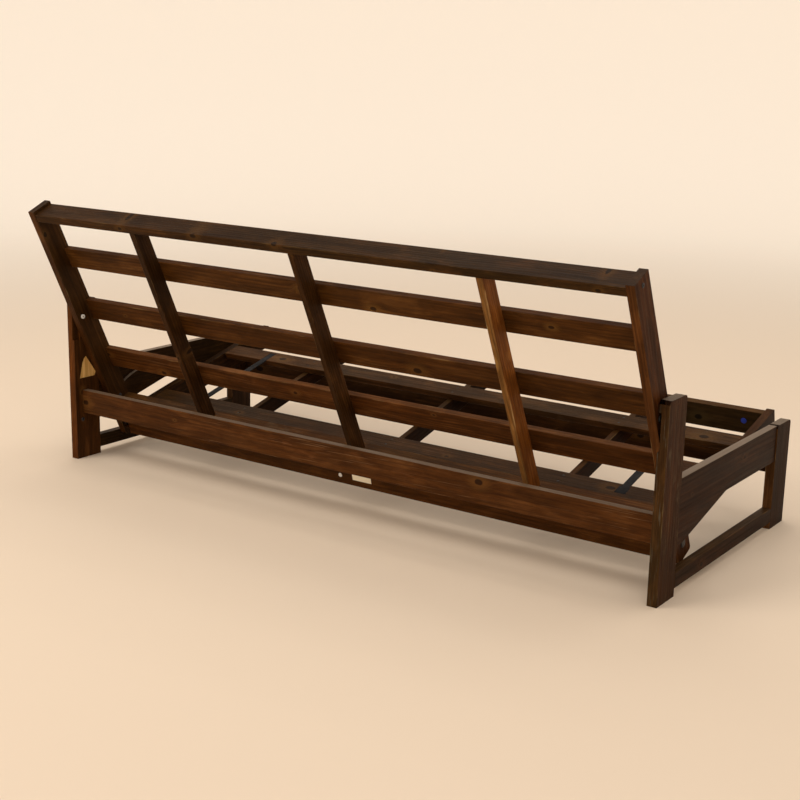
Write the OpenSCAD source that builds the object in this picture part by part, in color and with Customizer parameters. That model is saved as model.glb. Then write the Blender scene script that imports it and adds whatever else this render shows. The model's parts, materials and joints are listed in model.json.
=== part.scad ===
// Bifold futon frame, armless, knotty-wood slats. Millimetres, +Z up, front faces -Y.

/* [End frames] */
// Overall length of the frame along X
overall_w = 1930; // [1400:10:2100]
// Depth over the outer faces of the legs
base_d = 788; // [740:2:840]
// Leg thickness along X
leg_t = 25; // [22:1:32]
// Leg width along Y
leg_w = 92; // [86:1:104]
// Height of the rear legs
rear_leg_h = 485; // [470:5:540]
// Height of the front legs
front_leg_h = 286; // [286:1:310]
// Radius of the corners at the leg tops
leg_round = 10; // [4:1:16]
// Thickness of the deep side board
board_t = 22; // [20:1:24]
// Height of the top edge of the side board
board_top = 285; // [280:1:300]
// Height of the lower edge where the side board is shallow
board_low = 188; // [170:1:196]
// Height of the lower edge where the side board meets the rear leg
board_rear_low = 113; // [100:1:124]
// Underside of the lower side rail above the floor
low_rail_z = 19; // [10:1:40]
// Height of the lower side rail
low_rail_h = 39; // [30:1:60]

/* [Stretchers] */
// Height of the long stretcher boards
stretcher_h = 70; // [50:1:90]
// Top edge of the long stretcher boards above the floor
stretcher_top = 210.4; // [200:0.2:210.4]
// Thickness of the stretcher boards
stretcher_t = 24; // [18:1:28]
// Inset of the back stretcher from the rear face of the legs
back_inset = 25; // [10:1:40]

/* [Decks] */
// Depth of the deck side members
member_d = 68; // [60:1:68]
// Thickness of the deck side members along X
stile_t = 22; // [18:1:22]
// Thickness of the deck cross rails
rail_t = 23; // [18:1:25]
// Width of the slats
slat_w = 62; // [45:1:75]
// Thickness of the slats
slat_t = 18; // [14:1:20]
// Thickness of the ribs that carry the slats, along X
rib_w = 18; // [16:1:24]
// Distance of the outer ribs from the middle rib
rib_gap = 546; // [400:2:600]
// Length of the back deck side members
back_len = 788; // [776:1:796]
// Spacing of the slats from one to the next
slat_pitch = 175.5; // [150:0.5:185]
// First back slat below the top of the top rail
back_slat_0 = 138.7; // [100:0.1:150]
// First seat slat behind the front of the front rail
seat_slat_0 = 159.7; // [120:0.1:165]

/* [Hardware] */
// Diameter of the pivot bolt shanks
pivot_bolt_d = 10; // [8:0.5:12]
// Diameter of the guide bolt shanks
guide_bolt_d = 8; // [6:0.5:10]
// Diameter of the nylon guide rollers
roller_d = 16; // [12:1:18]
// Width of the steel straps on the seat
strap_w = 22; // [16:1:30]

/* [Hidden] */
$fn = 48;
H = overall_w/2;
lean = 25;            // back from vertical
tilt = 14.5;          // seat from level
// sofa position of the deck pivot and the arc it travels (centre, radius)
py0 = 226.4; pz0 = 96.9;
py1 = -55;   pz1 = stretcher_top + member_d/2 + 0.6;
sag = 22;
cl = sqrt(pow(py1-py0,2)+pow(pz1-pz0,2));
arc_r = (cl*cl/4+sag*sag)/(2*sag);
dy = (py1-py0)/cl; dz = (pz1-pz0)/cl;
oy = (py0+py1)/2-(arc_r-sag)*dz;
oz = (pz0+pz1)/2+(arc_r-sag)*dy;
a0 = atan2(pz0-oz, py0-oy); a1 = atan2(pz1-oz, py1-oy);
// back deck frame: u down the back from the rail top, v forwards from the rear face
piv_u = 737; piv_v = member_d/2;
yt = py0+piv_u*sin(lean)+piv_v*cos(lean);
zt = pz0+piv_u*cos(lean)-piv_v*sin(lean);
end_u = back_len-8;
// seat deck frame: s rearwards from the front rail, n up from the seat plane
piv_s = 652.3; piv_n = -member_d/2;
ys = py0-piv_s*cos(tilt)-piv_n*sin(tilt);
zs = pz0+piv_s*sin(tilt)-piv_n*cos(tilt);
// base
yr = 416.9; yf = yr-base_d;
board_in = H-leg_t;
stile_o = H-28.7;               // outer face of the back side members
stile_i = stile_o-stile_t;
seat_o = stile_i-8;             // outer face of the seat side members
seat_i = seat_o-stile_t;
// centre the whole in Y
ymax = yt+8*sin(lean);
ymin = ys-8*cos(tilt)-member_d*sin(tilt);
sy = -(ymax+ymin)/2;
// guide bolts in the back deck frame
gu = 352; gv = 18;
lu = 650; lv = member_d/2;
groove_r = roller_d/2+0.5;
strap_s0 = seat_slat_0+10;
strap_s1 = ss(2)+slat_w-18;
strap_x = 719;
strap_foot = 30;
groove_in = 12;
steps = 12;
rail_in = 1.2;
slat_du = [0,0,-3];             // small shifts and extra widths of the back slats
slat_dw = [0,4,3];
function su(i) = back_slat_0+i*slat_pitch+slat_du[i];
function ss(i) = seat_slat_0+i*slat_pitch-(i==2?6.2:0);
dark = [0.20,0.12,0.08]; dark2 = [0.24,0.15,0.09]; steel = [0.12,0.12,0.13]; nylon = [0.9,0.9,0.88];

// position of a back-deck point (u,v) at travel t from 0 sofa to 1 bed
function arc(t) = let(a = a0+(a1-a0)*t) [oy+arc_r*cos(a), oz+arc_r*sin(a)];
function bpos(u,v,t) = let(p = arc(t), b = (90-lean)*(1-t), du = piv_u-u, dv = v-piv_v)
    [p[0]+du*cos(b)-dv*sin(b), p[1]+du*sin(b)+dv*cos(b)];

module xex(x0,x1) { translate([x0,sy,0]) rotate([90,0,90]) linear_extrude(x1-x0) children(); }
module xcyl(x0,x1,y,z,r) { translate([x0,y,z]) rotate([0,90,0]) cylinder(r=r,h=x1-x0); }
module side(s) { if (s < 0) mirror([1,0,0]) children(); else children(); }
module bd() { translate([0,yt+sy,zt]) rotate([-lean,0,0]) children(); }
module sd() { translate([0,ys+sy,zs]) rotate([-tilt,0,0]) children(); }
// bars in deck frames: x0..x1, u0..u1, v0..v1
module bbar(x0,x1,u0,u1,v0,v1) { translate([x0,-v1,-u1]) cube([x1-x0,v1-v0,u1-u0]); }
module sbar(x0,x1,s0,s1,n0,n1) { translate([x0,s0,n0]) cube([x1-x0,s1-s0,n1-n0]); }
module bcyl(x0,x1,u,v,r) { xcyl(x0,x1,-v,-u,r); }

// groove of constant width along a roller path, with round ends
function unit(a,b) = let(d = [b[0]-a[0],b[1]-a[1]]) d/norm(d);
module groove(u,v,x0,x1) {
  p = [for (i=[0:steps]) bpos(u,v,i/steps)];
  t = [for (i=[0:steps]) unit(p[max(i-1,0)],p[min(i+1,steps)])];
  n = [for (a=t) [-a[1],a[0]]];
  translate([x0,sy,0]) rotate([90,0,90]) linear_extrude(x1-x0) polygon(concat(
    [for (i=[0:steps]) p[i]+groove_r*n[i]],
    [for (k=[1:7]) p[steps]+groove_r*(cos(k*22.5)*n[steps]+sin(k*22.5)*t[steps])],
    [for (i=[steps:-1:0]) p[i]-groove_r*n[i]],
    [for (k=[1:7]) p[0]-groove_r*(cos(k*22.5)*n[0]+sin(k*22.5)*t[0])]));
}

module rear_leg(s) { color(dark) side(s) difference() {
  xex(H-leg_t,H) { 
    translate([yr-leg_w,0]) square([leg_w,rear_leg_h-leg_round]);
    translate([yr-leg_w+leg_round,0]) square([leg_w-2*leg_round,rear_leg_h]);
    translate([yr-leg_w+leg_round,rear_leg_h-leg_round]) circle(leg_round);
    translate([yr-leg_round,rear_leg_h-leg_round]) circle(leg_round);
  }
  translate([H-leg_t-1,yr-23+sy,365]) cube([7,24,91]);
  xex(H-leg_t-1,H-leg_t+2.5) polygon([[yr-18,246.5],[yr-24,271],[yr-30,293],[yr-36,305],[yr-44,312],[yr-81.4,258],[yr-76,246.5]]);
} }
module front_leg(s) { color(dark) side(s) 
  xex(H-leg_t,H) { 
    translate([yf,0]) square([leg_w,front_leg_h-leg_round]);
    translate([yf+leg_round,0]) square([leg_w-2*leg_round,front_leg_h]);
    translate([yf+leg_round,front_leg_h-leg_round]) circle(leg_round);
    translate([yf+leg_w-leg_round,front_leg_h-leg_round]) circle(leg_round);
  } }
module side_board(s) { color(dark) side(s) difference() {
  xex(board_in,board_in+board_t) polygon([[yf+leg_w,board_low],[42,board_low],[yr-leg_w,board_rear_low],[yr-leg_w,board_top],[yf+leg_w,board_top]]);
  groove(lu,lv,board_in-1,board_in+groove_in);
} }
module lower_rail(s) { color(dark) side(s) xex(H-leg_t,H) translate([yf+leg_w,low_rail_z]) square([base_d-2*leg_w,low_rail_h]); }
module back_stretcher() { color(dark2) xex(-board_in,board_in) translate([yr-back_inset-stretcher_t,stretcher_top-stretcher_h]) square([stretcher_t,stretcher_h]); }
module front_stretcher() { color(dark) xex(-board_in,board_in) translate([yf,stretcher_top-stretcher_h-6]) square([stretcher_t,stretcher_h+5.6]); }
module leg_bolts() { color(steel) for (s=[-1,1]) side(s) xcyl(board_in-3,board_in,393+sy,120,6); }

module back_stile(s) { color(dark) side(s) bd() difference() {
  union() {
    bbar(stile_i,stile_o,-8,end_u-8,0,member_d);
    bbar(stile_i,stile_o,end_u-8,end_u,8,member_d-8);
    bcyl(stile_i,stile_o,end_u-8,8,8);
    bcyl(stile_i,stile_o,end_u-8,member_d-8,8);
  }
  bcyl(stile_i-1,stile_o+1,piv_u,piv_v,pivot_bolt_d/2+0.05);
  bcyl(stile_i-1,stile_o+1,gu,gv,guide_bolt_d/2+0.05);
  bcyl(stile_i-1,stile_o+1,lu,lv,guide_bolt_d/2+0.05);
} }
module back_top_rail() { color(dark) bd() bbar(-stile_i,stile_i,0,rail_t,rail_in,member_d-rail_in); }
module back_bottom_rail() { color(dark) bd() bbar(-stile_i,stile_i,piv_u-75,piv_u-75+rail_t,rail_in,member_d-rail_in); }
module back_rib(x) { color(dark2) bd() bbar(x-rib_w/2,x+rib_w/2,rail_t,piv_u-75,2,member_d-slat_t); }
module back_slat(i) { color(dark2) bd() difference() {
  bbar(-stile_i,stile_i,su(i),su(i)+slat_w+slat_dw[i],member_d-slat_t,member_d);
  for (x=[-rib_gap,0,rib_gap]) for (k=[-1,1]) translate([x,-member_d-1,-(su(i)+slat_w/2+k*slat_w/4)]) rotate([-90,0,0]) cylinder(r=4.05,h=3);
} }
module back_slat_screws() { color(steel) bd() for (i=[0:2]) for (x=[-rib_gap,0,rib_gap]) for (k=[-1,1])
  translate([x,-member_d+0.3,-(su(i)+slat_w/2+k*slat_w/4)]) rotate([-90,0,0]) cylinder(r=4,h=1.7); }
module back_rail_bolts() { color(steel) for (s=[-1,1]) side(s) bd() {
  bcyl(stile_o,stile_o+1.6,rail_t/2,piv_v,6);
  bcyl(stile_o,stile_o+1.6,piv_u-75+rail_t/2,piv_v,6);
} }
module upper_guide_bolt() { for (s=[-1,1]) side(s) bd() {
  bcyl(stile_i,stile_o+0.4,gu,gv,guide_bolt_d/2);
  bcyl(stile_i-3.4,stile_i,gu,gv,1.8);
} }
module upper_guide_pads() { for (s=[-1,1]) side(s) bd() {
  difference() { bcyl(stile_o,stile_o+3.2,gu,gv,roller_d/2); bcyl(stile_o-1,stile_o+0.5,gu,gv,guide_bolt_d/2+0.05); }
  difference() { bcyl(stile_i-3.6,stile_i,gu,gv,6.5); bcyl(stile_i-4,stile_i+0.5,gu,gv,1.85); }
} }
module lower_guide_bolt() { for (s=[-1,1]) side(s) bd() {
  bcyl(stile_i,stile_o+9.5,lu,lv,guide_bolt_d/2);
  bcyl(stile_i-2,stile_i,lu,lv,5.5);
} }
module lower_guide_roller() { for (s=[-1,1]) side(s) bd()
  difference() { bcyl(stile_o+1.5,stile_o+14,lu,lv,roller_d/2); bcyl(stile_o+1,stile_o+9.6,lu,lv,guide_bolt_d/2+0.05); }
}

module seat_rail(s) { color(dark) side(s) sd() difference() {
  union() {
    sbar(seat_i,seat_o,-8,piv_s,-member_d,0);
    xcyl(seat_i,seat_o,piv_s,piv_n,member_d/2);
  }
  xcyl(seat_i-1,seat_o+1,piv_s,piv_n,pivot_bolt_d/2+0.05);
} }
module seat_front_rail() { color(dark) sd() sbar(-seat_i,seat_i,0,rail_t,-member_d-3.5,-rail_in); }
module seat_rear_rail() { color(dark) sd() sbar(-seat_i,seat_i,piv_s+12.7,piv_s+12.7+rail_t,-member_d+rail_in,-rail_in); }
module seat_rib(x) { color(dark) sd() sbar(x-rib_w/2,x+rib_w/2,rail_t,piv_s+12.7,-member_d+2,-slat_t); }
module seat_slat(i) { color(dark) sd() difference() {
  sbar(-seat_i,seat_i,ss(i),ss(i)+slat_w,-slat_t,0);
  for (x=[-rib_gap,0,rib_gap]) for (k=[-1,1]) translate([x,ss(i)+slat_w/2+k*slat_w/4,-2]) cylinder(r=4.05,h=3);
  for (s=[-1,1]) { sbar(s*strap_x-strap_w/2-0.3,s*strap_x+strap_w/2+0.3,strap_s0-0.3,strap_s1+0.3,-3,1);
    sbar(s*strap_x-strap_foot/2-0.3,s*strap_x+strap_foot/2+0.3,strap_s1-34.3,strap_s1+0.3,-3,1); }
} }
module seat_slat_screws() { color(steel) sd() for (i=[0:2]) for (x=[-rib_gap,0,rib_gap]) for (k=[-1,1])
  translate([x,ss(i)+slat_w/2+k*slat_w/4,-2]) cylinder(r=4,h=1.7); }
module seat_rail_bolts() { color(steel) for (s=[-1,1]) side(s) sd() xcyl(seat_o,seat_o+1.6,rail_t/2,piv_n,6); }
module seat_strap(s) { color(steel) side(s) sd() {
  sbar(strap_x-strap_w/2,strap_x+strap_w/2,strap_s0,strap_s1,-3,-0.2);
  sbar(strap_x-strap_foot/2,strap_x+strap_foot/2,strap_s1-34,strap_s1,-3,-0.2); } }
module rail_plate() { color(nylon) sd() sbar(-41,22,piv_s+12.7+rail_t,piv_s+12.7+rail_t+0.8,-47,-30); }
module rail_cap() { color(nylon) sd() translate([64,piv_s+12.7+rail_t,-40.7]) rotate([-90,0,0]) cylinder(r=6,h=1.5); }

module pivot_bolts() { color(steel) for (s=[-1,1]) side(s) translate([0,sy,0]) {
  xcyl(seat_i-3,stile_o+1.5,py0,pz0,pivot_bolt_d/2);
  xcyl(seat_i-6,seat_i-0.1,py0,pz0,10);
  xcyl(stile_o+0.1,stile_o+2.4,py0,pz0,10);
} }
module pivot_spacers() { color(nylon) for (s=[-1,1]) side(s) translate([0,sy,0]) difference() {
  xcyl(seat_o+0.4,stile_i-0.4,py0,pz0,14);
  xcyl(seat_o,stile_i,py0,pz0,pivot_bolt_d/2+0.05);
} }

rear_leg(-1);  // left_rear_leg
rear_leg(1);  // right_rear_leg
front_leg(-1);  // left_front_leg
front_leg(1);  // right_front_leg
side_board(-1);  // left_side_board
side_board(1);  // right_side_board
lower_rail(-1);  // left_lower_rail
lower_rail(1);  // right_lower_rail
back_stretcher();
front_stretcher();
leg_bolts();
back_stile(-1);  // left_back_stile
back_stile(1);  // right_back_stile
back_top_rail();
back_bottom_rail();
back_rib(-rib_gap);  // left_back_rib
back_rib(0);  // centre_back_rib
back_rib(rib_gap);  // right_back_rib
back_slat(0);  // upper_back_slat
back_slat(1);  // middle_back_slat
back_slat(2);  // lower_back_slat
back_slat_screws();
back_rail_bolts();
color(steel) upper_guide_bolt();  // upper_guide_bolts
color(nylon) upper_guide_pads();
color(steel) lower_guide_bolt();  // lower_guide_bolts
color(nylon) lower_guide_roller();  // lower_guide_rollers
seat_rail(-1);  // left_seat_rail
seat_rail(1);  // right_seat_rail
seat_front_rail();
seat_rear_rail();
seat_rib(-rib_gap);  // left_seat_rib
seat_rib(0);  // centre_seat_rib
seat_rib(rib_gap);  // right_seat_rib
seat_slat(0);  // front_seat_slat
seat_slat(1);  // middle_seat_slat
seat_slat(2);  // rear_seat_slat
seat_slat_screws();
seat_rail_bolts();
seat_strap(-1);  // left_seat_strap
seat_strap(1);  // right_seat_strap
rail_plate();
rail_cap();
pivot_bolts();
pivot_spacers();
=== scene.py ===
import json
import math
import random

import bmesh
import bpy
import numpy as np
from mathutils import Matrix, Vector


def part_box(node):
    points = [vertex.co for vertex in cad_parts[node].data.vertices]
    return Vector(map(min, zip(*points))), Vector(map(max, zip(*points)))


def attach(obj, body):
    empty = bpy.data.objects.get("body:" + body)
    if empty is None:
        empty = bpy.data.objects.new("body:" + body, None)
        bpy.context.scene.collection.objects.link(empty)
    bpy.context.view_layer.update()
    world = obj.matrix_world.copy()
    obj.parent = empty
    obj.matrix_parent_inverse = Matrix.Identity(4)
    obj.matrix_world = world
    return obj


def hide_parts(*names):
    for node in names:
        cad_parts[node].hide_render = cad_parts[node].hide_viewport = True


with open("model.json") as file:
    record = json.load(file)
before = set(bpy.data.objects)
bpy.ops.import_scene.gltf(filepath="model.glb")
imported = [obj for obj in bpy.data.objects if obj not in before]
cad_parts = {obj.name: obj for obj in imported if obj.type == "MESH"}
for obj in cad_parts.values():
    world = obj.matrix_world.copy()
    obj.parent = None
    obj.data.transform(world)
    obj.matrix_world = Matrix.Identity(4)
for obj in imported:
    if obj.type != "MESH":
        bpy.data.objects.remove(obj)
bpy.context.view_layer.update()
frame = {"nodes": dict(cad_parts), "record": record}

D = bpy.data
SC = bpy.context.scene
NODES = frame["nodes"]
MEMBERS = frame["record"]["behaviour"]["bodies"]
BODY = {n: b for b, ns in MEMBERS.items() for n in ns}

LEAN, TILT = math.radians(25), math.radians(14.5)
X, Y, Z = Vector((1, 0, 0)), Vector((0, 1, 0)), Vector((0, 0, 1))
ORIGIN_SEAT = Vector((0, -0.47195, 0.29314))            # s = 0, n = 0 of the seat deck
EU = Vector((0, -math.sin(LEAN), -math.cos(LEAN)))      # down the back
EV = Vector((0, -math.cos(LEAN), math.sin(LEAN)))       # out of the back's front face
ES = Vector((0, math.cos(TILT), -math.sin(TILT)))       # rearwards along the seat
EN = Vector((0, math.sin(TILT), math.cos(TILT)))        # up out of the seat


def smooth01(t):
    t = max(0.0, min(1.0, t))
    return t * t * (3 - 2 * t)


# ---------------------------------------------------------------- node helper
class Net:
    def __init__(self, name):
        self.mat = D.materials.new(name)
        self.mat.use_nodes = True
        self.t = self.mat.node_tree
        self.t.nodes.clear()
        self.out = self.t.nodes.new("ShaderNodeOutputMaterial")
        self.bsdf = self.t.nodes.new("ShaderNodeBsdfPrincipled")
        self.t.links.new(self.bsdf.outputs[0], self.out.inputs[0])

    def put(self, socket, value):
        if isinstance(value, bpy.types.NodeSocket):
            self.t.links.new(value, socket)
        elif value is not None:
            socket.default_value = value

    def node(self, kind, **props):
        n = self.t.nodes.new(kind)
        for k, v in props.items():
            setattr(n, k, v)
        return n

    def math(self, op, a, b=None, c=None, clamp=False):
        n = self.node("ShaderNodeMath", operation=op, use_clamp=clamp)
        self.put(n.inputs[0], a)
        if b is not None:
            self.put(n.inputs[1], b)
        if c is not None:
            self.put(n.inputs[2], c)
        return n.outputs[0]

    def add(self, a, b): return self.math("ADD", a, b)
    def sub(self, a, b): return self.math("SUBTRACT", a, b)
    def mul(self, a, b): return self.math("MULTIPLY", a, b)
    def madd(self, a, b, c): return self.math("MULTIPLY_ADD", a, b, c)
    def mx(self, a, b): return self.math("MAXIMUM", a, b)
    def mn(self, a, b): return self.math("MINIMUM", a, b)

    def dot(self, v, w):
        n = self.node("ShaderNodeVectorMath", operation="DOT_PRODUCT")
        self.put(n.inputs[0], v)
        n.inputs[1].default_value = tuple(w)
        return n.outputs["Value"]

    def combine(self, a, b, c):
        n = self.node("ShaderNodeCombineXYZ")
        for s, v in zip(n.inputs, (a, b, c)):
            self.put(s, v)
        return n.outputs[0]

    def noise(self, vector, scale=1.0, detail=2.0, rough=0.5, distortion=0.0):
        n = self.node("ShaderNodeTexNoise", noise_dimensions="3D")
        self.put(n.inputs["Vector"], vector)
        n.inputs["Scale"].default_value = scale
        n.inputs["Detail"].default_value = detail
        n.inputs["Roughness"].default_value = rough
        n.inputs["Distortion"].default_value = distortion
        return n.outputs[0]

    def step(self, v, lo, hi, a=0.0, b=1.0):
        n = self.node("ShaderNodeMapRange", interpolation_type="SMOOTHSTEP")
        self.put(n.inputs[0], v)
        for i, x in zip((1, 2, 3, 4), (lo, hi, a, b)):
            self.put(n.inputs[i], x)
        return n.outputs[0]

    def lin(self, v, lo, hi, a=0.0, b=1.0):
        n = self.node("ShaderNodeMapRange", interpolation_type="LINEAR", clamp=True)
        self.put(n.inputs[0], v)
        for i, x in zip((1, 2, 3, 4), (lo, hi, a, b)):
            self.put(n.inputs[i], x)
        return n.outputs[0]

    def mix(self, f, a, b, blend="MIX"):
        n = self.node("ShaderNodeMix", data_type="RGBA", blend_type=blend)
        self.put(n.inputs[0], f)
        for s, v in ((n.inputs[6], a), (n.inputs[7], b)):
            if isinstance(v, bpy.types.NodeSocket):
                self.put(s, v)
            else:
                s.default_value = (*v, 1.0)
        return n.outputs[2]

    def bump(self, height, strength, distance):
        n = self.node("ShaderNodeBump")
        n.inputs["Strength"].default_value = strength
        n.inputs["Distance"].default_value = distance
        self.put(n.inputs["Height"], height)
        return n.outputs[0]

    def coords(self):
        return self.node("ShaderNodeTexCoord").outputs["Object"]


def span(node, axis):
    co = np.array([v.co for v in NODES[node].data.vertices], float) @ np.array(axis, float)
    return float(co.min()), float(co.max())


# ---------------------------------------------------------------- stained pine
def wood(node, el, ea, eb, seed, tone=1.0, warm=0.5, scuff=0.25, wear=0.45, knots=1.0, gloss=0.44, raw=None, gray=0.0, face_light_and_wear=()):
    """Dark-stained knotty pine for one board: el along the grain, ea across its wide face, eb through it."""
    rnd = random.Random(seed)
    w = Net("wood_" + node)
    p = w.coords()
    l, a, b = w.dot(p, el), w.dot(p, ea), w.dot(p, eb)
    (l0, l1), (a0, a1), (b0, b1) = (span(node, e) for e in (el, ea, eb))
    so = rnd.uniform(5, 60)
    ls, as_, bs = w.add(l, so), w.add(a, rnd.uniform(2, 9)), w.add(b, rnd.uniform(2, 9))

    # knots: one candidate per stretch of board, through its thickness
    cells = 2.7
    vor = w.node("ShaderNodeTexVoronoi", voronoi_dimensions="1D", feature="F1")
    w.put(vor.inputs["W"], w.mul(ls, cells))
    vor.inputs["Scale"].default_value = 1.0
    vor.inputs["Randomness"].default_value = 0.8
    rgb = w.node("ShaderNodeSeparateColor")
    w.put(rgb.inputs[0], vor.outputs["Color"])
    r1, r2, r3 = rgb.outputs
    dl = w.sub(ls, w.math("DIVIDE", vor.outputs["W"], cells))
    mid, half = (a0 + a1) / 2, (a1 - a0) / 2
    da = w.sub(w.sub(a, mid), w.mul(w.sub(r1, 0.5), half * 1.5))
    da = w.add(da, w.mul(w.sub(b, (b0 + b1) / 2), w.sub(r3, 0.5)))
    wob = w.noise(w.combine(w.mul(l, 60), w.mul(a, 60), w.mul(b, 60)), 1.0, 1.0)
    dk = w.math("SQRT", w.add(w.math("POWER", w.mul(dl, 0.62), 2.0), w.math("POWER", da, 2.0)))
    dk = w.add(dk, w.mul(w.sub(wob, 0.5), 0.004))
    kr = w.mul(w.lin(r2, 0.25, 1.0, 0.0, 0.0115 * knots), 1.0)
    krs = w.mx(kr, 0.0004)
    knot = w.mul(w.step(w.math("DIVIDE", dk, krs), 1.05, 0.7), w.math("GREATER_THAN", kr, 0.0015))
    halo = w.mul(w.step(w.math("DIVIDE", dk, krs), 3.6, 0.9), w.math("GREATER_THAN", kr, 0.0015))
    bulge = w.math("EXPONENT", w.mul(w.math("POWER", w.math("DIVIDE", dk, w.mul(krs, 2.1)), 2.0), -1.0))

    # growth rings as one scalar field that bends round the knots
    low = w.noise(w.combine(w.mul(ls, 1.9), w.mul(as_, 11), w.mul(bs, 11)), 1.0, 2.0, 0.45)
    lower = w.noise(w.combine(w.mul(ls, 0.7), w.mul(as_, 4), w.mul(bs, 4)), 1.0, 1.0)
    field = w.add(w.mul(as_, rnd.uniform(62, 96)), w.mul(bs, rnd.uniform(90, 150)))
    field = w.add(field, w.mul(low, rnd.uniform(4.2, 7.5)))
    field = w.add(field, w.mul(lower, 5.0))
    field = w.add(field, w.mul(w.mul(bulge, w.mul(kr, 420)), 1.0))
    ring = w.math("FRACT", field)
    late = w.mul(w.step(ring, 0.12, 0.86), w.step(ring, 1.0, 0.93))          # soft rise, sharp fall
    fibre = w.noise(w.combine(w.mul(ls, 9), w.mul(as_, 620), w.mul(bs, 620)), 1.0, 3.0, 0.62)
    streak = w.noise(w.combine(w.mul(ls, 2.6), w.mul(as_, 150), w.mul(bs, 150)), 1.0, 3.0, 0.6)
    pore = w.step(w.noise(w.combine(w.mul(ls, 34), w.mul(as_, 900), w.mul(bs, 900)), 1.0, 1.0), 0.60, 0.70)
    blotch = w.noise(w.combine(w.mul(ls, 2.4), w.mul(as_, 9), w.mul(bs, 9)), 1.0, 3.0, 0.55)
    cloud = w.noise(w.combine(w.mul(ls, 1.1), w.mul(as_, 3), w.mul(bs, 3)), 1.0, 2.0, 0.5)

    def shade(c, k): return (c[0] * k * 0.84, c[1] * k * 0.86, c[2] * k * 0.66)
    deep = shade((0.0200, 0.0072, 0.0026), tone)
    body = shade((0.0600, 0.0195, 0.0056), tone)
    red = shade((0.0940, 0.0290, 0.0072), tone)
    light = shade((0.1500, 0.0560, 0.0170), tone)
    ash = shade((0.0600, 0.0330, 0.0150), tone)
    col = w.mix(w.lin(blotch, 0.32, 0.68), body, red) if warm > 0 else w.mix(0.0, body, body)
    col = w.mix(w.mul(w.step(cloud, 0.38, 0.66), 1.0 - warm), col, shade((0.0360, 0.0165, 0.0060), tone))
    if gray:
        col = w.mix(w.mul(w.lin(cloud, 0.3, 0.6, 0.4, 1.0), gray), col, ash)
    mott = w.noise(w.combine(w.mul(ls, 7.5), w.mul(as_, 26), w.mul(bs, 26)), 1.0, 3.0, 0.6, 0.6)
    col = w.mix(w.lin(mott, 0.50, 0.70, 0.0, 0.62), col, shade((0.1500, 0.0560, 0.0200), tone))
    col = w.mix(w.lin(mott, 0.49, 0.32, 0.0, 0.52), col, deep)
    ringy = w.lin(w.noise(w.combine(w.mul(ls, 1.6), w.mul(as_, 5), w.mul(bs, 5)), 1.0, 1.0), 0.36, 0.62, 0.10, 0.46)
    col = w.mix(w.mul(late, ringy), col, deep)
    col = w.mix(w.lin(streak, 0.42, 0.66, 0.0, 0.50), col, deep)
    col = w.mix(w.lin(fibre, 0.50, 0.78, 0.0, 0.30), col, light)
    col = w.mix(w.mul(pore, 0.55), col, deep)
    col = w.mix(w.mul(halo, 0.45), col, shade((0.1500, 0.0620, 0.0200), tone))
    col = w.mix(w.mul(knot, 0.85), col, shade((0.0140, 0.0060, 0.0035), tone))

    # scuffs: short pale scratches along and a little across the grain
    sc1 = w.noise(w.combine(w.mul(ls, 5.5), w.add(w.mul(as_, 330), w.mul(ls, 9)), w.mul(bs, 330)), 1.0, 3.0, 0.7)
    sc2 = w.noise(w.combine(w.mul(ls, 2.3), w.mul(as_, 9), w.mul(bs, 9)), 1.0, 3.0, 0.6)
    scr = w.mul(w.step(sc1, 0.575, 0.68), w.step(sc2, 0.62 - 0.20 * scuff, 0.78 - 0.20 * scuff))
    rub = w.mul(w.step(w.noise(w.combine(w.mul(ls, 11), w.mul(as_, 34), w.mul(bs, 34)), 1.0, 3.0, 0.65), 0.56, 0.72), w.step(sc2, 0.60 - 0.16 * scuff, 0.80 - 0.16 * scuff))
    pale = shade((0.150, 0.118, 0.105), 1.0) if gray >= 0.2 else shade((0.205, 0.105, 0.062), 1.0)
    col = w.mix(w.mul(rub, min(0.6, 0.15 + 0.45 * scuff)), col, shade((0.170, 0.060, 0.024), tone) if gray < 0.2 else pale)
    col = w.mix(w.mul(scr, min(0.75, 0.22 + 0.6 * scuff)), col, pale)

    # worn edges: the second smallest of the three distances to the board's sides
    def side(c, lo, hi): return w.sub((hi - lo) / 2, w.math("ABSOLUTE", w.sub(c, (lo + hi) / 2)))
    x, y, z = side(l, l0, l1), side(a, a0, a1), side(b, b0, b1)
    edge = w.mx(w.mn(x, y), w.mn(w.mx(x, y), z))
    en1 = w.noise(w.combine(w.mul(ls, 9), w.mul(as_, 60), w.mul(bs, 60)), 1.0, 3.0, 0.65)
    edgy = w.step(w.add(edge, w.mul(w.sub(0.60 + 0.12 * wear, en1), 0.016)), 0.0030, 0.0004)
    col = w.mix(w.mul(edgy, 0.25 + 0.55 * wear), col, shade((0.2100, 0.1250, 0.0700), tone))
    endg = w.step(x, 0.0012, 0.0002)
    col = w.mix(w.mul(endg, 0.55), col, shade((0.0260, 0.0150, 0.0095), tone))

    # per-face colour: painted light and shade on faces turned one way, and on faces turned up a pale film of wear and
    # painted sheen
    on = w.node("ShaderNodeTexCoord").outputs["Normal"]
    for way, face_light_tint, amount in face_light_and_wear:
        face = w.step(w.dot(on, way), 0.75, 0.90)
        if amount is None:          # painted light and shade: the face is scaled lighter or darker to stand in for how light falls on it
            painted_light_gain = w.mix(face, (1.0, 1.0, 1.0), face_light_tint)
            g = w.node("ShaderNodeVectorMath", operation="MULTIPLY")
            w.put(g.inputs[0], col)
            w.put(g.inputs[1], painted_light_gain)
            col = g.outputs[0]
        else:                       # a pale film, broken up along the grain: stain rubbed through on the faces turned up, plus a painted sheen there
            worn = w.lin(w.add(w.mul(streak, 0.5), w.mul(blotch, 0.5)), 0.30, 0.62, 1.0, 0.62)
            col = w.mix(w.mul(w.mul(face, worn), amount), col, face_light_tint)

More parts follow.
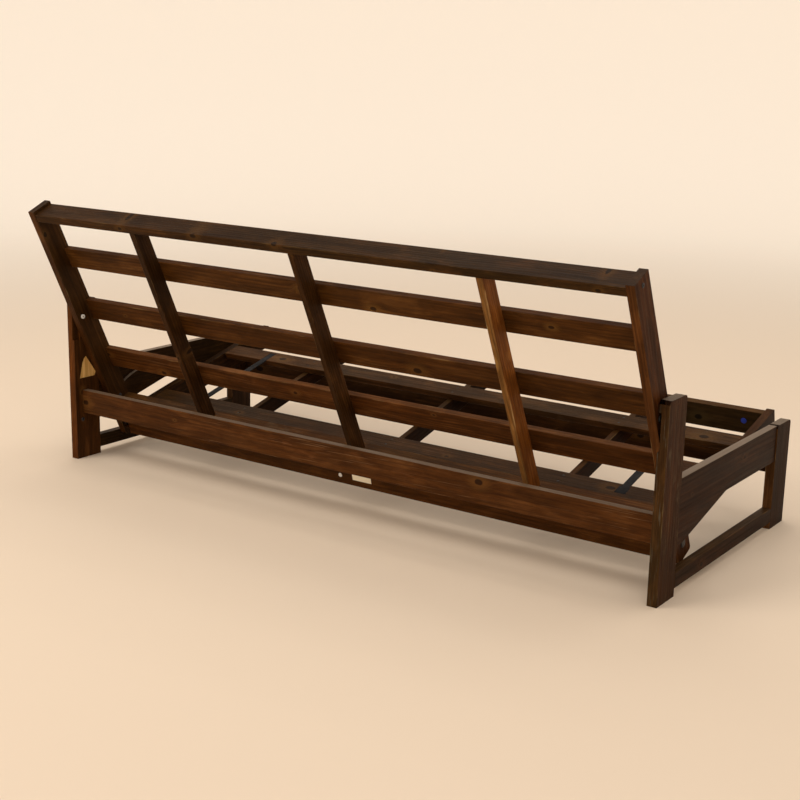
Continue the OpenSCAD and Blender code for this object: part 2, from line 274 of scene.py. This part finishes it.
    if raw is not None:
        rawmask = raw(w, p)
        g1 = w.noise(w.combine(w.mul(ls, 6), w.mul(as_, 240), w.mul(bs, 240)), 1.0, 3.0, 0.6)
        rawcol = w.mix(w.lin(g1, 0.35, 0.65), (0.42, 0.22, 0.060), (0.74, 0.47, 0.17))
        col = w.mix(rawmask, col, rawcol)
    w.put(w.bsdf.inputs["Base Color"], col)

    rough = w.lin(w.add(w.mul(streak, 0.6), w.mul(blotch, 0.4)), 0.3, 0.7, gloss - 0.08, gloss + 0.10)
    rough = w.math("ADD", rough, w.mul(w.add(w.mul(scr, 0.14), w.mul(edgy, 0.12)), 1.0), clamp=True)
    w.put(w.bsdf.inputs["Roughness"], rough)
    w.bsdf.inputs["IOR"].default_value = 1.5
    w.bsdf.inputs["Specular IOR Level"].default_value = 0.035

    h = w.add(w.mul(late, 0.40), w.mul(fibre, 0.45))
    h = w.sub(h, w.mul(pore, 0.30))
    h = w.sub(h, w.mul(scr, 0.35))
    h = w.add(h, w.mul(knot, 0.35))
    h = w.sub(h, w.mul(edgy, 0.30))
    h = w.add(h, w.mul(blotch, 0.8))
    w.put(w.bsdf.inputs["Normal"], w.bump(h, 0.55, 0.0006))
    return w.mat


# ---------------------------------------------------------------- other materials
def steel_mat(name, base=(0.030, 0.029, 0.031), rough=0.42, worn=0.35, metallic=0.85):
    w = Net(name)
    p = w.coords()
    n1 = w.noise(p, 160.0, 3.0, 0.6)
    n2 = w.noise(p, 24.0, 3.0, 0.55)
    col = w.mix(w.lin(n2, 0.35, 0.7), base, tuple(x * 2.1 for x in base))
    col = w.mix(w.mul(w.step(n1, 0.60, 0.74), worn), col, (0.22, 0.21, 0.20))
    w.put(w.bsdf.inputs["Base Color"], col)
    w.bsdf.inputs["Metallic"].default_value = metallic
    w.put(w.bsdf.inputs["Roughness"], w.lin(n1, 0.3, 0.7, rough - 0.1, rough + 0.16))
    w.put(w.bsdf.inputs["Normal"], w.bump(n1, 0.25, 0.0002))
    return w.mat


def plastic_mat(name, base, rough=0.42, dirt=0.25, spec=0.45):
    w = Net(name)
    p = w.coords()
    n1 = w.noise(p, 90.0, 3.0, 0.6)
    n2 = w.noise(p, 500.0, 2.0, 0.5)
    col = w.mix(w.mul(w.step(n1, 0.52, 0.75), dirt), base, tuple(x * f for x, f in zip(base, (0.72, 0.66, 0.56))))
    w.put(w.bsdf.inputs["Base Color"], col)
    w.put(w.bsdf.inputs["Roughness"], w.lin(n1, 0.3, 0.7, rough - 0.06, rough + 0.12))
    w.bsdf.inputs["Specular IOR Level"].default_value = spec
    w.put(w.bsdf.inputs["Normal"], w.bump(n2, 0.18, 0.00012))
    return w.mat


# ---------------------------------------------------------------- mesh helpers
def obj_from(bm, name, mat):
    me = D.meshes.new(name)
    bmesh.ops.recalc_face_normals(bm, faces=bm.faces)
    bm.to_mesh(me)
    bm.free()
    o = D.objects.new(name, me)
    SC.collection.objects.link(o)
    o.data.materials.append(mat)
    return o


def place(o, body, nodes=()):
    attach(o, body)
    if nodes:
        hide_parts(*nodes)
    return o


def clean_copy(node):
    """The CAD node's surface as a welded bmesh with its flat faces merged."""
    bm = bmesh.new()
    bm.from_mesh(NODES[node].data)
    bmesh.ops.remove_doubles(bm, verts=bm.verts, dist=2e-6)
    bmesh.ops.dissolve_limit(bm, angle_limit=math.radians(1.0), verts=bm.verts, edges=bm.edges, delimit={"NORMAL"})
    return bm


def board(node, mat, radius=0.0018, smallest=0.012, name=None):
    """A CAD board with eased edges: every long sharp edge is rounded."""
    bm = clean_copy(node)
    sharp = [e for e in bm.edges if len(e.link_faces) == 2 and e.calc_face_angle(0) > math.radians(28) and e.calc_length() > smallest]
    bmesh.ops.bevel(bm, geom=sharp, offset=radius, offset_type="OFFSET", segments=3, profile=0.5, affect="EDGES", clamp_overlap=True)
    o = obj_from(bm, name or node + "_board", mat)
    for f in o.data.polygons:
        f.use_smooth = True
    m = o.modifiers.new("wn", "WEIGHTED_NORMAL")
    m.keep_sharp = False
    place(o, BODY[node], [node])
    return o


def basis(axis):
    axis = Vector(axis).normalized()
    side = Vector((1, 0, 0)) if abs(axis.x) < 0.9 else Vector((0, 0, 1))
    u = axis.cross(side).normalized()
    return u, axis.cross(u).normalized(), axis


def lathe(bm, centre, axis, profile, seg=32):
    """Turns (radius, height) points round axis from centre. Radius 0 closes an end."""
    u, v, w = basis(axis)
    c = Vector(centre)
    rings = []
    for r, h in profile:
        if r < 1e-7:
            rings.append([bm.verts.new(c + w * h)])
        else:
            rings.append([bm.verts.new(c + w * h + u * (r * math.cos(2 * math.pi * i / seg)) + v * (r * math.sin(2 * math.pi * i / seg))) for i in range(seg)])
    for a, b in zip(rings, rings[1:]):
        for i in range(seg):
            j = (i + 1) % seg
            if len(a) == 1 and len(b) > 1:
                bm.faces.new((a[0], b[j], b[i]))
            elif len(b) == 1 and len(a) > 1:
                bm.faces.new((a[i], a[j], b[0]))
            elif len(a) > 1 and len(b) > 1:
                bm.faces.new((a[i], a[j], b[j], b[i]))
    return rings


def driven_head(bm, centre, axis, r, h, kind="cross", seg=32, turn=0.3, sink=0.0004):
    """A low domed screw head with a cross or a hexagon pressed into it."""
    u, v, w = basis(axis)
    c = Vector(centre)
    def ring(rad, hh, n=seg):
        return [bm.verts.new(c + w * hh + u * (rad * math.cos(2 * math.pi * i / n + turn)) + v * (rad * math.sin(2 * math.pi * i / n + turn))) for i in range(n)]
    rings = [ring(r, -sink), ring(r, h * 0.35), ring(r * 0.93, h * 0.70), ring(r * 0.78, h * 0.93), ring(r * 0.66, h)]
    for a, b in zip(rings, rings[1:]):
        for i in range(seg):
            j = (i + 1) % seg
            bm.faces.new((a[i], a[j], b[j], b[i]))
    bm.faces.new(list(reversed(rings[0])))
    if kind == "cross":
        k, t = r * 0.52, r * 0.13
        pts = [(k, -t), (k, t), (t, t), (t, k), (-t, k), (-t, t), (-k, t), (-k, -t), (-t, -t), (-t, -k), (t, -k), (t, -t)]
    else:
        k = r * 0.50
        pts = [(k * math.cos(math.pi / 3 * i), k * math.sin(math.pi / 3 * i)) for i in range(6)]
    ct, st = math.cos(turn), math.sin(turn)
    pts = [(x * ct - y * st, x * st + y * ct) for x, y in pts]
    top = [bm.verts.new(c + w * h + u * x + v * y) for x, y in pts]
    low = [bm.verts.new(c + w * (h - min(h * 0.8 + sink, r * 0.45)) + u * (x * 0.8) + v * (y * 0.8)) for x, y in pts]
    n = len(pts)
    for i in range(n):
        j = (i + 1) % n
        bm.faces.new((top[i], top[j], low[j], low[i]))
    bm.faces.new(low)
    loop = [e for e in bm.edges if set(e.verts) <= set(rings[-1]) or (set(e.verts) <= set(top))]
    bmesh.ops.triangle_fill(bm, edges=loop, use_beauty=True)


def smooth_by_angle(o, deg=32):
    bm = bmesh.new()
    bm.from_mesh(o.data)
    for f in bm.faces:
        f.smooth = True
    for e in bm.edges:
        e.smooth = not (len(e.link_faces) == 2 and e.calc_face_angle(0) > math.radians(deg))
    bm.to_mesh(o.data)
    bm.free()


def islands(node):
    """The vertex coordinates of each loose solid of a CAD node."""
    bm = bmesh.new()
    bm.from_mesh(NODES[node].data)
    bmesh.ops.remove_doubles(bm, verts=bm.verts, dist=2e-6)
    seen, out = set(), []
    for v in bm.verts:
        if v in seen:
            continue
        stack, co = [v], []
        seen.add(v)
        while stack:
            q = stack.pop()
            co.append(q.co.copy())
            for e in q.link_edges:
                o = e.other_vert(q)
                if o not in seen:
                    seen.add(o)
                    stack.append(o)
        out.append(np.array(co))
    bm.free()
    return out


def heads(node, axis_of, mat, kind, r, h, name=None, sink=0.0004):
    """Replaces a CAD fastener node of plain discs with detailed heads in the same places."""
    rnd = random.Random(node)
    bm = bmesh.new()
    for co in islands(node):
        c = Vector(co.mean(0))
        axis = axis_of(c)
        lo = min(np.array(co) @ np.array(axis))
        base = c + axis * (lo - c.dot(axis))
        driven_head(bm, base, axis, r, h, kind, turn=rnd.uniform(0, 3), sink=sink)
    o = obj_from(bm, name or node + "_heads", mat)
    smooth_by_angle(o)
    place(o, BODY[node], [node])
    return o


# ---------------------------------------------------------------- boards
def recess_mask(s):
    """Bare wood in the shallow cut on a rear leg's inner face."""
    def f(w, p):
        x = w.mul(w.dot(p, X), s)
        deep = w.mul(w.step(x, 0.9404, 0.9412), w.step(x, 0.9440, 0.9432))
        yy, zz = w.dot(p, Y), w.dot(p, Z)
        band = w.mul(w.step(zz, 0.2440, 0.2455), w.step(zz, 0.3140, 0.3125))
        rows = w.mul(w.step(yy, 0.2560, 0.2580), w.step(yy, 0.3260, 0.3240))
        return w.mul(deep, w.mul(band, rows))
    return f


BOARDS = {
    # node: (along, across, through, tone, warm, scuff, wear, knots, gloss, gray)
    "left_rear_leg": (Z, Y, X, 0.95, 0.45, 1.25, 0.80, 0.8, 0.46, 0.25),
    "right_rear_leg": (Z, Y, X, 0.95, 0.60, 0.25, 0.55, 0.8, 0.44, 0.10),
    "left_front_leg": (Z, Y, X, 0.85, 0.45, 0.30, 0.50, 0.8, 0.46, 0.20),
    "right_front_leg": (Z, Y, X, 0.85, 0.45, 0.30, 0.50, 0.8, 0.46, 0.20),
    "left_side_board": (Y, Z, X, 0.80, 0.35, 0.20, 0.60, 0.8, 0.42, 0.35),
    "right_side_board": (Y, Z, X, 0.80, 0.35, 0.20, 0.60, 0.8, 0.42, 0.35),
    "left_lower_rail": (Y, Z, X, 0.85, 0.40, 0.95, 0.70, 0.7, 0.44, 0.30),
    "right_lower_rail": (Y, Z, X, 0.85, 0.40, 0.55, 0.60, 0.7, 0.44, 0.30),
    "back_stretcher": (X, Z, Y, 1.05, 0.80, 0.75, 0.75, 1.0, 0.42, 0.05),
    "front_stretcher": (X, Z, Y, 0.90, 0.60, 0.40, 0.50, 1.0, 0.44, 0.10),
    "left_back_stile": (EU, EV, X, 0.95, 0.55, 0.30, 0.50, 0.9, 0.44, 0.15),
    "right_back_stile": (EU, EV, X, 0.90, 0.50, 0.25, 0.55, 0.9, 0.44, 0.15),
    "back_top_rail": (X, EU, EV, 0.85, 0.35, 0.30, 0.45, 0.9, 0.40, 0.45),
    "back_bottom_rail": (X, EU, EV, 0.85, 0.45, 0.25, 0.45, 0.9, 0.42, 0.25),
    "left_back_rib": (EU, X, EV, 1.00, 0.90, 0.45, 0.45, 1.0, 0.46, 0.0),
    "centre_back_rib": (EU, X, EV, 0.90, 0.55, 0.25, 0.45, 1.0, 0.46, 0.10),
    "right_back_rib": (EU, X, EV, 0.85, 0.50, 0.25, 0.45, 1.0, 0.46, 0.10),
    "upper_back_slat": (X, EU, EV, 1.15, 0.85, 0.45, 0.40, 1.1, 0.44, 0.05),
    "middle_back_slat": (X, EU, EV, 1.12, 0.85, 0.45, 0.40, 1.1, 0.44, 0.05),
    "lower_back_slat": (X, EU, EV, 1.12, 0.85, 0.45, 0.40, 1.1, 0.44, 0.05),
    "left_seat_rail": (ES, EN, X, 0.75, 0.40, 0.20, 0.50, 0.8, 0.42, 0.25),
    "right_seat_rail": (ES, EN, X, 0.75, 0.40, 0.20, 0.50, 0.8, 0.42, 0.25),
    "seat_front_rail": (X, EN, ES, 0.75, 0.40, 0.20, 0.45, 0.8, 0.42, 0.25),
    "seat_rear_rail": (X, EN, ES, 0.90, 0.65, 0.40, 0.45, 0.9, 0.44, 0.10),
    "left_seat_rib": (ES, EN, X, 0.75, 0.40, 0.20, 0.45, 0.8, 0.44, 0.20),
    "centre_seat_rib": (ES, EN, X, 0.75, 0.40, 0.20, 0.45, 0.8, 0.44, 0.20),
    "right_seat_rib": (ES, EN, X, 0.75, 0.40, 0.20, 0.45, 0.8, 0.44, 0.20),
    "front_seat_slat": (X, ES, EN, 0.80, 0.40, 0.20, 0.40, 0.9, 0.42, 0.35),
    "middle_seat_slat": (X, ES, EN, 0.80, 0.40, 0.20, 0.40, 0.9, 0.42, 0.35),
    "rear_seat_slat": (X, ES, EN, 0.80, 0.40, 0.20, 0.40, 0.9, 0.42, 0.35),
}
TONES = {"left_back_rib": 2.6}
# the pale film on faces turned up: partly dust and wear, partly a painted sheen
DUST_AND_SHEEN = (0.235, 0.175, 0.125)
# per-face colour: entries with None scale one side lighter or darker as painted light and shade; entries with an
# amount lay a pale film on the faces turned up, wear plus a painted sheen
FACE_LIGHT_AND_WEAR = {
    "back_stretcher": [(Z, (0.165, 0.112, 0.072), 0.95)],
    "front_stretcher": [(Z, DUST_AND_SHEEN, 0.6), (Y, (0.60, 0.62, 0.6), None)],
    "left_side_board": [(Z, DUST_AND_SHEEN, 0.92), (-X, (0.50, 0.42, 0.34), None)],
    "right_side_board": [(Z, DUST_AND_SHEEN, 0.92), (-X, (0.55, 0.6, 0.6), None)],
    "upper_back_slat": [(-EV, (0.92, 0.98, 0.85), None)],
    "middle_back_slat": [(-EV, (0.78, 0.80, 0.65), None)],
    "lower_back_slat": [(-EU, (1.45, 1.5, 1.6), None), (-EV, (0.95, 0.92, 0.85), None)],
    "back_top_rail": [(-EU, (0.80, 0.80, 0.68), None), (-EV, (0.80, 0.84, 0.72), None)],
    "left_back_stile": [(-X, (0.90, 0.70, 0.45), None), (-EV, (1.5, 1.4, 1.3), None)],
    "right_back_stile": [(-X, (0.70, 0.80, 0.85), None)],
    "left_lower_rail": [(Z, (1.3, 1.45, 1.7), None), (-X, (0.46, 0.38, 0.30), None)],
    "right_lower_rail": [(-X, (0.5, 0.6, 0.6), None)],
    "left_front_leg": [(Z, DUST_AND_SHEEN, 0.7), (-X, (0.46, 0.38, 0.32), None), (Y, (2.0, 2.2, 2.6), None)],
    "right_front_leg": [(Z, DUST_AND_SHEEN, 0.6), (-X, (0.5, 0.5, 0.5), None)],
    "left_rear_leg": [(Z, (0.18, 0.13, 0.09), 0.8), (-X, (0.70, 0.58, 0.46), None), (Y, (0.85, 1.0, 1.1), None)],
    "right_rear_leg": [(Y, (1.6, 1.35, 1.0), None)],
    "left_back_rib": [(-X, (1.10, 1.05, 0.9), None), (-EV, (1.1, 1.45, 1.7), None)],
    "centre_back_rib": [(-X, (0.95, 1.0, 1.0), None), (-EV, (0.85, 0.9, 0.85), None)],
    "right_back_rib": [(-X, (0.70, 0.72, 0.70), None), (-EV, (0.75, 0.8, 0.8), None)],
    "seat_front_rail": [(EN, (1.4, 1.7, 1.7), None), (ES, (0.6, 0.9, 1.3), None)],
    "seat_rear_rail": [(ES, (1.25, 1.25, 1.1), None)],
    "front_seat_slat": [(EN, (1.15, 1.25, 1.35), None)],
    "rear_seat_slat": [(EN, (1.0, 1.0, 0.85), None)],
    "back_bottom_rail": [(-EU, (1.35, 1.35, 1.2), None)],
    "left_seat_rib": [(-X, (0.55, 0.4, 0.3), None), (EN, (1.5, 1.5, 1.4), None)],
    "centre_seat_rib": [(-X, (0.35, 0.3, 0.2), None), (EN, (1.0, 1.2, 1.3), None)],
    "right_seat_rib": [(-X, (0.5, 0.4, 0.3), None), (EN, (1.3, 1.4, 1.3), None)],
    "left_seat_rail": [(-X, (0.5, 0.4, 0.3), None)],
    "right_seat_rail": [(-X, (0.6, 0.55, 0.4), None), (EN, (0.55, 0.55, 0.5), None)],
}
for k, (node, (el, ea, eb, tone, warm, scuff, wear, knots, gloss, gray)) in enumerate(BOARDS.items()):
    raw = recess_mask(1 if node.startswith("right") else -1) if node in ("left_rear_leg", "right_rear_leg") else None
    m = wood(node, el, ea, eb, 100 + 7 * k, tone * TONES.get(node, 1.0), warm, scuff, wear, knots, gloss, raw, gray, FACE_LIGHT_AND_WEAR.get(node, ()))
    board(node, m)

# ---------------------------------------------------------------- hardware
BLACK = steel_mat("black_steel_bolts", (0.014, 0.013, 0.013), 0.50, 0.10, 0.35)
SCREW = steel_mat("screw_steel", (0.030, 0.024, 0.019), 0.48, 0.3, 0.6)
STRAP = steel_mat("strap_black", (0.010, 0.009, 0.009), 0.85, 0.03, 0.0)
STRAP.node_tree.nodes["Principled BSDF"].inputs["Specular IOR Level"].default_value = 0.12
NYLON = plastic_mat("white_nylon", (0.78, 0.76, 0.72), 0.40, 0.20)
BLUE = plastic_mat("blue_plug", (0.012, 0.030, 0.26), 0.50, 0.15, 0.3)
LABEL = plastic_mat("cream_label", (0.93, 0.85, 0.66), 0.62, 0.12, 0.3)


def outward(c):
    return Vector((1 if c.x > 0 else -1, 0, 0))


heads("back_slat_screws", lambda c: EV, SCREW, "cross", 0.0038, 0.0016, sink=0.0)
heads("seat_slat_screws", lambda c: EN, SCREW, "cross", 0.0038, 0.0016, sink=0.0)
heads("back_rail_bolts", outward, BLACK, "hex", 0.0060, 0.0018)
heads("seat_rail_bolts", outward, BLACK, "hex", 0.0060, 0.0018)
heads("leg_bolts", lambda c: -outward(c), BLACK, "hex", 0.0060, 0.0030)


def plain(node, mat, radius=0.0004, smallest=0.0, deg=30):
    """A CAD hardware node with its sharp rims eased."""
    bm = clean_copy(node)
    sharp = [e for e in bm.edges if len(e.link_faces) == 2 and e.calc_face_angle(0) > math.radians(40) and e.calc_length() > smallest]
    bmesh.ops.bevel(bm, geom=sharp, offset=radius, offset_type="OFFSET", segments=2, profile=0.5, affect="EDGES", clamp_overlap=True)
    o = obj_from(bm, node + "_part", mat)
    smooth_by_angle(o, deg)
    place(o, BODY[node], [node])
    return o


plain("upper_guide_bolts", BLACK)
plain("lower_guide_bolts", BLACK)
pads = plain("upper_guide_pads", NYLON)
pads.data.materials.append(plastic_mat("dark_nylon", (0.016, 0.015, 0.014), 0.50, 0.2, 0.3))
for f in pads.data.polygons:            # the pads beside the legs are dark, the caps on the inner faces white
    if abs(f.center.x) > 0.9355:
        f.material_index = 1
plain("lower_guide_rollers", NYLON)
plain("pivot_bolts", BLACK)
plain("pivot_spacers", NYLON)
plain("left_seat_strap", STRAP, 0.0006)
plain("right_seat_strap", STRAP, 0.0006)
plain("rail_plate", LABEL, 0.0002)


def cap():
    lo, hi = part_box("rail_cap")
    c = (lo + hi) / 2
    r, h = (hi.x - lo.x) / 2, 0.0015
    bm = bmesh.new()
    lathe(bm, c - ES * (h / 2), ES, [(0, 0), (r, 0), (r, h * 0.35), (r * 0.95, h * 0.62), (r * 0.80, h * 0.85), (r * 0.55, h * 0.97), (r * 0.30, h), (r * 0.12, h * 0.94), (0, h * 0.90)], 40)
    o = obj_from(bm, "rail_cap_dome", NYLON)
    smooth_by_angle(o, 50)
    place(o, BODY["rail_cap"], ["rail_cap"])


cap()


def dot():
    """The small blue plastic plug in the seat's front rail."""
    c = ORIGIN_SEAT + X * -0.8303 + ES * 0.023 + EN * -0.0325
    r, h = 0.0082, 0.0009
    bm = bmesh.new()
    lathe(bm, c, ES, [(0, -0.0002), (r, -0.0002), (r, h * 0.4), (r * 0.93, h * 0.8), (r * 0.8, h), (r * 0.5, h * 0.85), (0, h * 0.7)], 36)
    o = obj_from(bm, "rail_plug", BLUE)
    smooth_by_angle(o, 50)
    place(o, BODY["seat_front_rail"])


dot()

# ---------------------------------------------------------------- floor, light, camera
def stage():
    """A round floor whose rim sweeps up into a low wall, so no horizon shows."""
    bm = bmesh.new()
    r0, rb, top, seg = 6.0, 3.2, 5.6, 96
    prof = [(r0 * k / 6, 0.0) for k in range(7)]
    prof += [(r0 + rb * math.sin(math.radians(t)), rb * (1 - math.cos(math.radians(t)))) for t in range(6, 91, 6)]
    prof.append((r0 + rb, top))
    lathe(bm, (0, 0, 0), Z, prof, seg)
    bmesh.ops.recalc_face_normals(bm, faces=bm.faces)
    if sum(f.normal.z for f in bm.faces) < 0:
        bmesh.ops.reverse_faces(bm, faces=bm.faces)
    for f in bm.faces:
        f.smooth = True
    me = D.meshes.new("floor")
    bm.to_mesh(me)
    bm.free()
    o = D.objects.new("floor", me)
    SC.collection.objects.link(o)
    w = Net("floor_plain")
    p = w.coords()
    flat = w.node("ShaderNodeVectorMath", operation="LENGTH")
    w.put(flat.inputs[0], w.combine(w.dot(p, X), w.dot(p, Y), 0.0))
    r = flat.outputs["Value"]
    w.put(w.bsdf.inputs["Base Color"], w.mix(w.step(r, 1.5, 6.5), (0.76, 0.62, 0.48), (0.86, 0.78, 0.68)))
    w.put(w.bsdf.inputs["Emission Color"], w.mix(w.step(r, 2.5, 8.0), (0.0, 0.0, 0.0), (1.0, 0.90, 0.79)))
    w.bsdf.inputs["Emission Strength"].default_value = 0.26
    w.bsdf.inputs["Roughness"].default_value = 0.7
    w.bsdf.inputs["Specular IOR Level"].default_value = 0.15
    o.data.materials.append(w.mat)


stage()

world = D.worlds.new("studio")
SC.world = world
world.use_nodes = True
bg = world.node_tree.nodes["Background"]
bg.inputs[0].default_value = (1.0, 0.955, 0.90, 1)
bg.inputs[1].default_value = 0.62


def area(name, loc, target, size, power, colour):
    l = D.lights.new(name, "AREA")
    l.shape = "RECTANGLE"
    l.size, l.size_y = size
    l.energy = power
    l.color = colour
    o = D.objects.new(name, l)
    o.location = loc
    d = Vector(target) - Vector(loc)
    o.rotation_mode = "QUATERNION"
    o.rotation_quaternion = d.to_track_quat("-Z", "Y")
    SC.collection.objects.link(o)
    return o


area("key", (2.2, 3.6, 3.4), (0, 0, 0.3), (3.0, 2.2), 95, (1.0, 0.95, 0.88))
area("fill", (-3.4, 4.0, 2.8), (0, 0, 0.3), (3.0, 2.5), 30, (1.0, 0.95, 0.89))
area("top", (0.0, -1.2, 4.2), (0, 0, 0.2), (4.5, 3.0), 60, (1.0, 0.97, 0.93))

cam = D.cameras.new("camera")
cam.sensor_fit = "HORIZONTAL"
cam.sensor_width = 36.0
cam.lens = 63.916
cam.clip_start, cam.clip_end = 0.05, 100
co = D.objects.new("camera", cam)
SC.collection.objects.link(co)
az, el_, roll = math.radians(214.91), math.radians(14.0), math.radians(1.2)
back = Vector((math.sin(az) * math.cos(el_), -math.cos(az) * math.cos(el_), math.sin(el_)))
right = (-back).cross(Z).normalized()
up = right.cross(-back).normalized()
cx = math.cos(roll) * right + math.sin(roll) * up
cy = -math.sin(roll) * right + math.cos(roll) * up
co.matrix_world = Matrix(((cx.x, cy.x, back.x, -2.21039), (cx.y, cy.y, back.y, 3.16371), (cx.z, cy.z, back.z, 1.23130), (0, 0, 0, 1)))
SC.camera = co
SC.view_settings.view_transform = "Standard"
